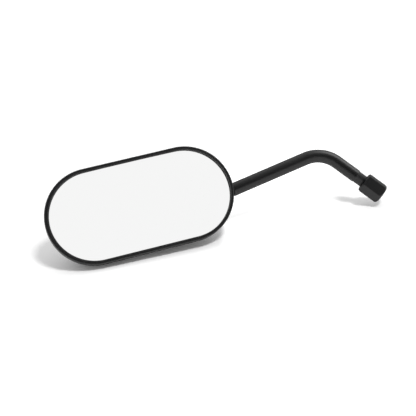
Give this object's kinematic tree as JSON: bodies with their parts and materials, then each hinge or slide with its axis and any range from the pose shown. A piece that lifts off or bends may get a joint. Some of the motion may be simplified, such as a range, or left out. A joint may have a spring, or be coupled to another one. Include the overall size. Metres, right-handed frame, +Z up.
{
  "type": "motorcycle mirror",
  "caption": "Long obround motorcycle mirror with a domed shell on a clamped ball joint, a bent round rod stem and a tall hex coupling nut that screws onto the handlebar's stud.",
  "frame": {"origin": "centre of the coupling nut's mouth, where its thread starts", "axes": "+Z up the nut and the lower leg of the stem, -Y out of the glass towards the rider, -X from the nut towards the head; the stem's bend lies in the XZ plane"},
  "size_m": [0.2291, 0.0419, 0.2419],
  "materials": {
    "black_steel": "satin black powder coat",
    "ball_steel": "turned and greased",
    "boot_rubber": "matte moulded rubber",
    "seat_nylon": "natural nylon",
    "plate_steel": "pressed and zinc plated",
    "screw_steel": "zinc plated",
    "washer_steel": "spring steel, oiled",
    "housing_plastic": "black moulded plastic, fine grain",
    "seal_rubber": "black rubber",
    "mirror": "slightly convex silvered glass",
    "pad_foam": "dark closed-cell foam"
  },
  "bodies": {
    "nut": {"coupling_nut": "black_steel"},
    "stem": {"stem": "black_steel", "stem_ball": "ball_steel", "dust_boot": "boot_rubber"},
    "front_seat": {"front_seat": "seat_nylon"},
    "back_seat": {"back_seat": "seat_nylon"},
    "head": {"front_plate": "plate_steel", "back_plate": "plate_steel", "clamp_screw_1": "screw_steel", "clamp_screw_2": "screw_steel", "clamp_screw_3": "screw_steel", "spring_washer_1": "washer_steel", "spring_washer_2": "washer_steel", "spring_washer_3": "washer_steel", "plate_screw_1": "screw_steel", "plate_screw_2": "screw_steel", "plate_screw_3": "screw_steel", "housing": "housing_plastic", "rim_seal": "seal_rubber", "mirror_glass": "mirror", "foam_pad": "pad_foam"}
  },
  "joints": [
    {"name": "arm_turn", "type": "hinge", "parent": "nut", "child": "stem", "pos_m": [0, 0, 0], "axis": [0, 0, 1], "continuous": true},
    {"name": "head_twist", "type": "hinge", "parent": "stem", "child": "front_seat", "pos_m": [-0.10306, 0, 0.1267], "axis": [0.866, 0, -0.5], "range_deg": [-30, 30]},
    {"name": "head_roll", "type": "hinge", "parent": "front_seat", "child": "back_seat", "pos_m": [-0.10306, 0, 0.1267], "axis": [0, -1, 0], "range_deg": [-10, 10]},
    {"name": "head_tilt", "type": "hinge", "parent": "back_seat", "child": "head", "pos_m": [-0.10306, 0, 0.1267], "axis": [0.5, 0, 0.866], "range_deg": [-10, 10]}
  ]
}
